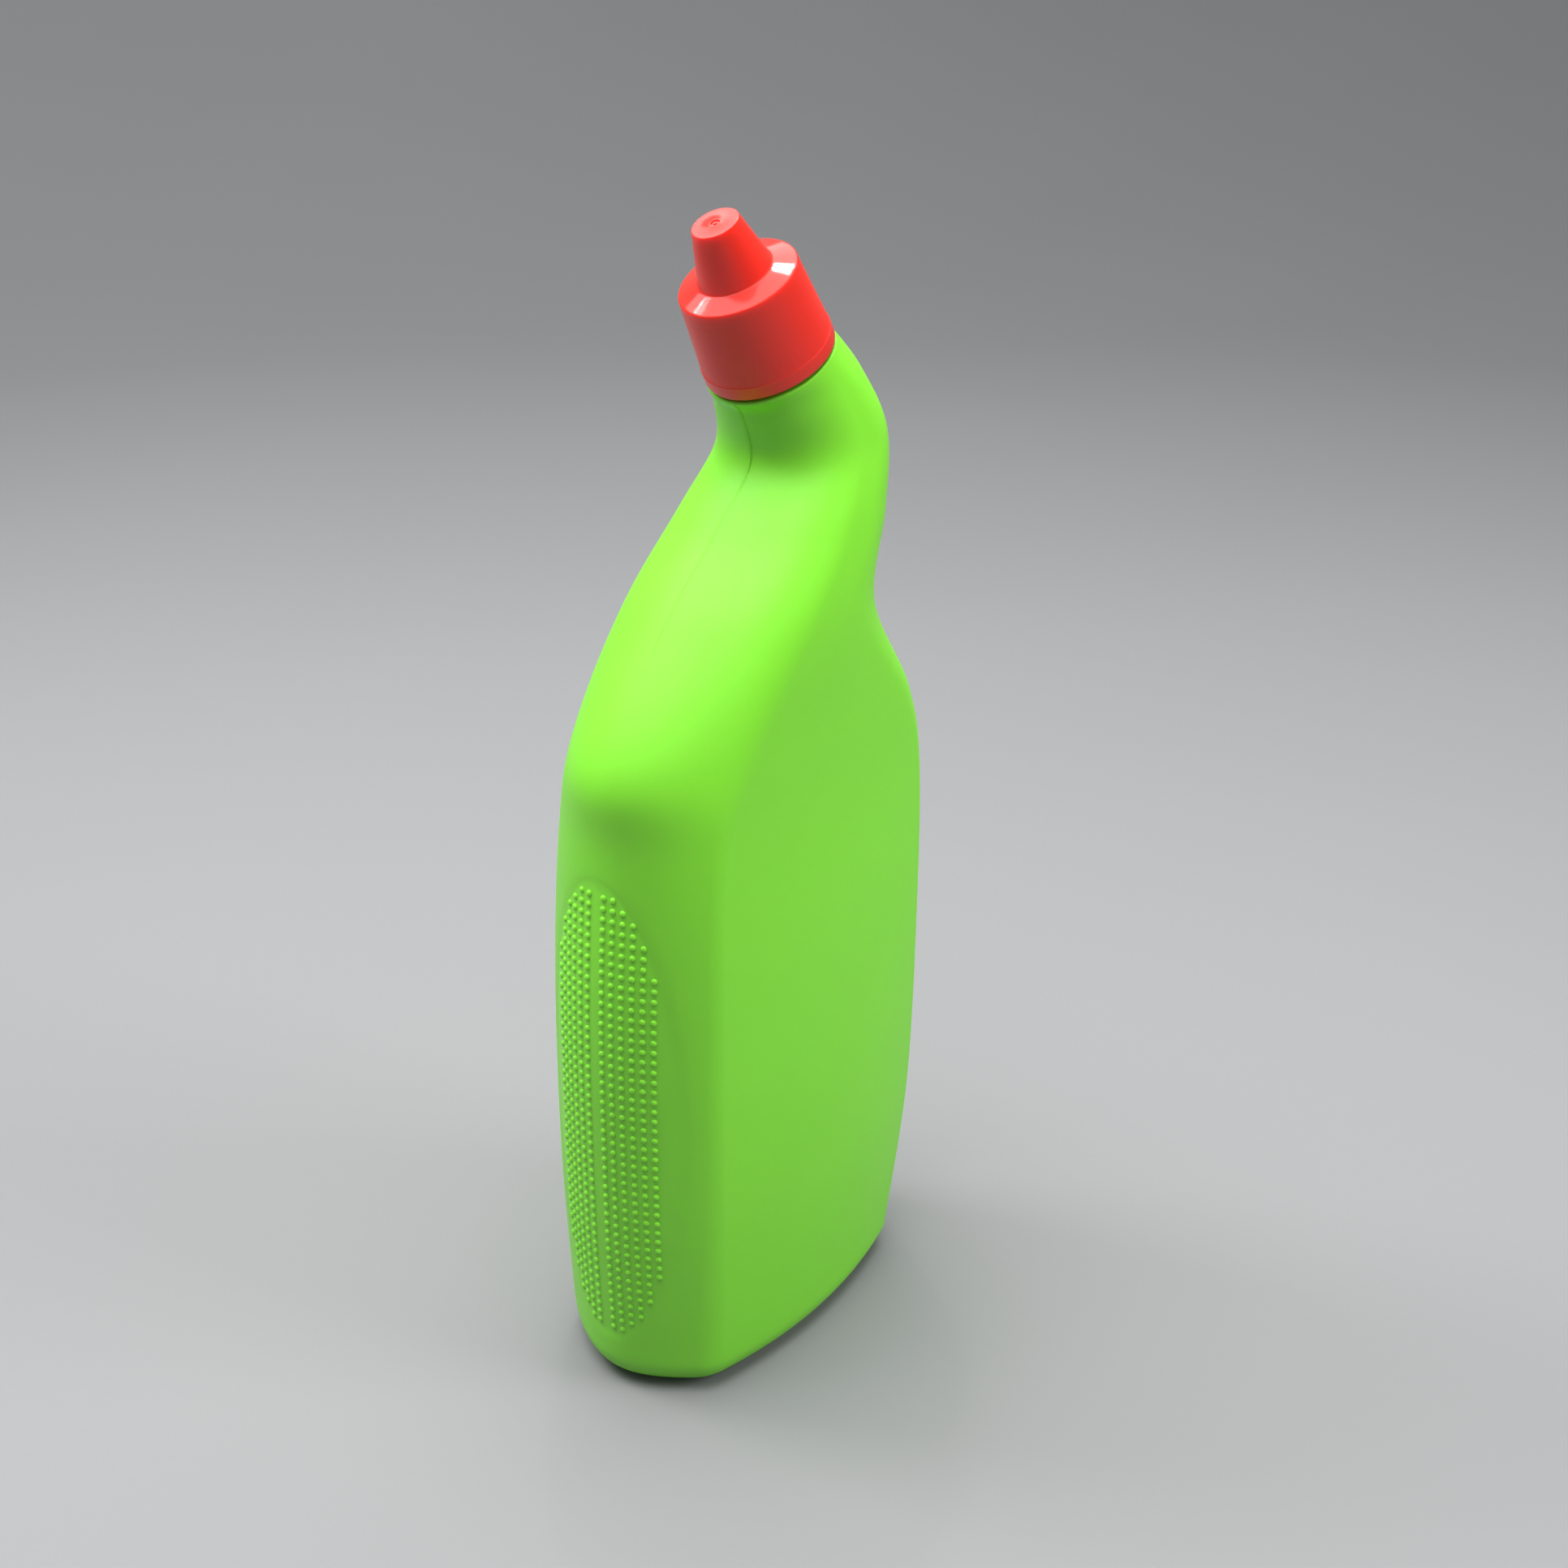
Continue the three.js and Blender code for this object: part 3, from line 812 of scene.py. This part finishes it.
def add_thread(bm, depth):
    """Adds a ridge that climbs round the neck, thinning out at both ends."""
    ridge = bmesh.new()
    root, crest = THREAD_ROOT * MM, THREAD_CREST * MM
    inner = (FINISH_RADIUS - THREAD_SINK) * MM
    outer = FINISH_RADIUS * MM + depth
    corners = [
        ridge.verts.new((inner, 0, -root)),
        ridge.verts.new((outer, 0, -crest)),
        ridge.verts.new((outer, 0, crest)),
        ridge.verts.new((inner, 0, root)),
    ]
    face = ridge.faces.new(corners)
    steps = round(THREAD_STEPS_PER_TURN * THREAD_TURNS)
    lift = THREAD_PITCH * THREAD_TURNS * MM
    bmesh.ops.spin(
        ridge, geom=[face], cent=(0, 0, 0), axis=(0, 0, 1), dvec=(0, 0, lift / steps),
        angle=2 * math.pi * THREAD_TURNS, steps=steps, use_merge=False, use_duplicate=False,
    )
    for vert in ridge.verts:
        radius = math.hypot(vert.co.x, vert.co.y)
        climb = (vert.co.z + root) / (lift + 2 * root)
        fade = smooth(min(climb, 1 - climb) / THREAD_RUN_OUT)
        if radius > inner + CREST_MARGIN:
            target = inner + (radius - inner) * fade
            vert.co.x *= target / radius
            vert.co.y *= target / radius
    bmesh.ops.recalc_face_normals(ridge, faces=ridge.faces)
    start = NECK @ Matrix.Translation((0, 0, THREAD_START * MM))
    bmesh.ops.transform(ridge, matrix=start, verts=ridge.verts)
    mesh = bpy.data.meshes.new("ridge")
    ridge.to_mesh(mesh)
    ridge.free()
    bm.from_mesh(mesh)
    bpy.data.meshes.remove(mesh)


class BOTTLE_OT_bottle(bpy.types.Operator):
    """Makes the blown bottle with its grip dots, mould seam, ledge and threaded neck"""

    bl_idname = "cleaner.make_bottle"
    bl_label = "Make bottle"

    def execute(self, context):
        sizes = context.scene.bottle_sizes
        rings = foot_rings(sizes, 0, HEEL_STEPS)
        for share in wall_shares(RINGS_BETWEEN):
            ring = let_in_panel(section(level_at(share)), sizes.panel_depth)
            rings.append(raise_seam(ring, sizes.seam_height * seam_share(ring[0])))
        rings += finish_rings()
        inner = foot_rings(sizes, sizes.wall, INNER_HEEL_STEPS)
        inner += [
            section(moved_in(level_at(share), sizes.wall))
            for share in wall_shares(INNER_RINGS_BETWEEN)
        ]
        rings += reversed(inner)
        bm = bmesh.new()
        wrap_rings(bm, rings)
        add_dots(bm, sizes, context.scene.dot_sizes)
        add_thread(bm, sizes.thread_depth)
        add_piece(
            "bottle_shell", bm, green_plastic(context.scene.bottle_colours),
            "bottle", "bottle",
        )
        return {"FINISHED"}


class BOTTLE_OT_plug(bpy.types.Operator):
    """Makes the flanged plug in the mouth, with its tapered spout"""

    bl_idname = "cleaner.make_plug"
    bl_label = "Make spout plug"

    def execute(self, context):
        seat = FINISH_HEIGHT + FIT_GAP
        flange_top = seat + PLUG_FLANGE
        flange = FINISH_RADIUS - FINISH_BEVEL
        radius = MOUTH_RADIUS - FIT_GAP
        inside = radius - PLUG_WALL
        bottom = seat - PLUG_DEPTH
        tip = flange_top + SPOUT_HEIGHT
        profile = [
            (SPOUT_BORE, seat, 0.3), (inside, seat, 0.3), (inside, bottom, 0.2),
            (radius - 0.4, bottom, 0.15), (radius, bottom + 1, 0.3), (radius, seat - 0.1, 0),
            (flange, seat, 0.1), (flange, flange_top, 0.25), (5, flange_top, 0.5),
            (3.5, tip - SPOUT_RIM, 0.3), (3.3, tip, 0.35), (SPOUT_BORE, tip, 0.3),
        ]
        bm = bmesh.new()
        lathe(bm, profile, PLUG_STEPS)
        add_piece(
            "spout_insert", bm, milky_plastic(context.scene.bottle_colours),
            "bottle", "spout_plug",
        )
        return {"FINISHED"}


class BOTTLE_OT_cap(bpy.types.Operator):
    """Makes the screw cap with its hem bead, sloping shoulder, closed nose and gate mark"""

    bl_idname = "cleaner.make_cap"
    bl_label = "Make cap"

    def execute(self, context):
        seal = FINISH_RADIUS - SEAL_INSET
        seal_inside = seal - SEAL_WIDTH
        seal_bottom = FINISH_HEIGHT + FIT_GAP + PLUG_FLANGE + FIT_GAP
        bore = FINISH_RADIUS + THREAD_DEPTH + FIT_GAP
        inside = (
            (0, 32.5, 0), (3.7, 32.5, 0.5), (6.7, 20.5, 0.4), (seal_inside, CAP_CEILING, 0.2),
            (seal_inside, seal_bottom, 0.2), (seal, seal_bottom, 0.2), (seal, CAP_CEILING, 0.2),
            (bore, CAP_CEILING, 0.3), (13.4, 3, 0.3), (13.6, 0.05, 0.1),
        )
        bm = bmesh.new()
        profile = inside + CAP_HEM + CAP_SKIRT + CAP_SHOULDER + CAP_NOSE + GATE_MARK
        lathe(bm, profile, CAP_STEPS)
        add_piece(
            "screw_cap", bm, red_plastic(context.scene.bottle_colours), "cap", "cap"
        )
        return {"FINISHED"}


# Round sweep in metres, so that no side of the object faces a wall's edge
FLOOR_RADIUS = 1.5
SWEEP_RADIUS = 1.6
SWEEP_TURN = math.radians(80)
SWEEP_STEPS = 16
SWEEP_SIDES = 96
SWEEP_MERGE_DISTANCE = 1e-5
WORLD_COLOUR = (0.93, 0.96, 1.0, 1)
WORLD_STRENGTH = 0.34
# Camera as solved from the photo: image width and focal length in pixels, azimuth, elevation and
# roll in degrees, and the place of the solved frame's origin as the camera sees it and along X
IMAGE_WIDTH = 1932
FOCAL_LENGTH = 2200
SENSOR_WIDTH = 36
CAMERA_TURNS = (-51.400, 23.024, -0.468)
SEEN_FROM = Vector((-45.700, -146.357, -430.395)) * MM
SOLVED_ORIGIN = Vector((57.3, 0, 0)) * MM
# Lights: name, place, what they face, width, height and power in watts. The soft panels don't
# show in the plastics. The high panel and the small lamps do, the lamps as glints on the cap.
PANELS = (
    ("sky panel", (-0.05, -0.05, 0.95), (-0.05, -0.05, 0), 0.7, 0.7, 10),
    ("left panel", (-0.25, 0.74, 0.9), (0, 0, 0.15), 0.3, 0.45, 6),
    ("right panel", (0.45, -1.0, 0.7), (0, 0, 0.12), 0.5, 0.6, 9.5),
)
LAMPS = (
    ("high panel", (0.2, 0.9, 1.9), (0.2, 0.9, 0), 3.0, 2.6, 56),
    ("lamp 1", (0.178, 0.198, 0.94), (0, 0, 0.2), 0.014, 0.014, 0.15),
    ("lamp 2", (0.245, 0.22, 0.94), (0, 0, 0.2), 0.024, 0.024, 0.5),
    ("left lamp 1", (-0.15, 0.73, 0.94), (0, 0, 0.2), 0.012, 0.03, 0.06),
    ("left lamp 2", (-0.185, 0.66, 0.94), (0, 0, 0.2), 0.012, 0.03, 0.03),
)


class BOTTLE_OT_stage(bpy.types.Operator):
    """Sets the floor, the soft lights and the camera"""

    bl_idname = "cleaner.make_stage"
    bl_label = "Make stage"

    def execute(self, context):
        scene = context.scene
        scene.view_settings.view_transform = "Standard"
        bm = bmesh.new()
        corners = [bm.verts.new((0, 0, 0)), bm.verts.new((FLOOR_RADIUS, 0, 0))]
        for i in range(1, SWEEP_STEPS + 1):
            turn = SWEEP_TURN * i / SWEEP_STEPS
            corners.append(bm.verts.new((
                FLOOR_RADIUS + SWEEP_RADIUS * math.sin(turn), 0,
                SWEEP_RADIUS * (1 - math.cos(turn)),
            )))
        for pair in zip(corners, corners[1:]):
            bm.edges.new(pair)
        bmesh.ops.spin(
            bm, geom=bm.verts[:] + bm.edges[:], cent=(0, 0, 0), axis=(0, 0, 1), dvec=(0, 0, 0),
            angle=2 * math.pi, steps=SWEEP_SIDES, use_merge=True, use_duplicate=False,
        )
        bmesh.ops.remove_doubles(bm, verts=bm.verts, dist=SWEEP_MERGE_DISTANCE)
        bmesh.ops.recalc_face_normals(bm, faces=bm.faces)
        mesh = bpy.data.meshes.new("floor")
        bm.to_mesh(mesh)
        bm.free()
        mesh.polygons.foreach_set("use_smooth", [True] * len(mesh.polygons))
        mesh.materials.append(floor_paper(scene.bottle_colours))
        floor = bpy.data.objects.new("floor", mesh)
        scene.collection.objects.link(floor)

        world = bpy.data.worlds.new("studio")
        world.use_nodes = True
        background = world.node_tree.nodes["Background"]
        background.inputs["Color"].default_value = WORLD_COLOUR
        background.inputs["Strength"].default_value = WORLD_STRENGTH
        scene.world = world

        for panel in PANELS:
            self.add_light(scene, *panel).visible_glossy = False
        for lamp in LAMPS:
            self.add_light(scene, *lamp)

        camera_data = bpy.data.cameras.new("photo camera")
        camera_data.sensor_width = SENSOR_WIDTH
        camera_data.lens = FOCAL_LENGTH / IMAGE_WIDTH * SENSOR_WIDTH
        camera_data.clip_start = 0.01
        camera = bpy.data.objects.new("photo camera", camera_data)
        azimuth, elevation, roll = (math.radians(angle) for angle in CAMERA_TURNS)
        turn = (
            Matrix.Rotation(azimuth, 4, "Z")
            @ Matrix.Rotation(math.pi / 2 - elevation, 4, "X")
            @ Matrix.Rotation(roll, 4, "Z")
        )
        place = -(turn.to_3x3() @ SEEN_FROM) - SOLVED_ORIGIN
        camera.matrix_world = Matrix.Translation(place) @ turn
        scene.collection.objects.link(camera)
        scene.camera = camera
        return {"FINISHED"}

    def add_light(self, scene, name, place, target, width, height, power):
        """An area light at a place that faces its target."""
        data = bpy.data.lights.new(name, "AREA")
        data.shape = "RECTANGLE"
        data.size = width
        data.size_y = height
        data.energy = power
        light = bpy.data.objects.new(name, data)
        away = Vector(place) - Vector(target)
        light.matrix_world = (
            Matrix.Translation(place) @ away.to_track_quat("Z", "Y").to_matrix().to_4x4()
        )
        scene.collection.objects.link(light)
        return light


class BOTTLE_PT_panel(bpy.types.Panel):
    """Lists the sizes, the colours and the steps"""

    bl_label = "Toilet cleaner bottle"
    bl_idname = "BOTTLE_PT_panel"
    bl_space_type = "VIEW_3D"
    bl_region_type = "UI"
    bl_category = "Bottle"

    def draw(self, context):
        scene = context.scene
        for group in (scene.bottle_sizes, scene.dot_sizes, scene.bottle_colours):
            for name in group.__annotations__:
                self.layout.prop(group, name)
        for operator in STEPS:
            self.layout.operator(operator.bl_idname)


STEPS = (BOTTLE_OT_stage, BOTTLE_OT_bottle, BOTTLE_OT_plug, BOTTLE_OT_cap)
CLASSES = (BottleSizes, DotSizes, Colours, *STEPS, BOTTLE_PT_panel)


def register():
    for cls in CLASSES:
        bpy.utils.register_class(cls)
    bpy.types.Scene.bottle_sizes = PointerProperty(type=BottleSizes)
    bpy.types.Scene.dot_sizes = PointerProperty(type=DotSizes)
    bpy.types.Scene.bottle_colours = PointerProperty(type=Colours)


def unregister():
    del bpy.types.Scene.bottle_colours
    del bpy.types.Scene.dot_sizes
    del bpy.types.Scene.bottle_sizes
    for cls in reversed(CLASSES):
        bpy.utils.unregister_class(cls)


def main():
    register()
    bpy.ops.cleaner.make_stage()
    bpy.ops.cleaner.make_bottle()
    bpy.ops.cleaner.make_plug()
    bpy.ops.cleaner.make_cap()


if __name__ == "__main__":
    main()
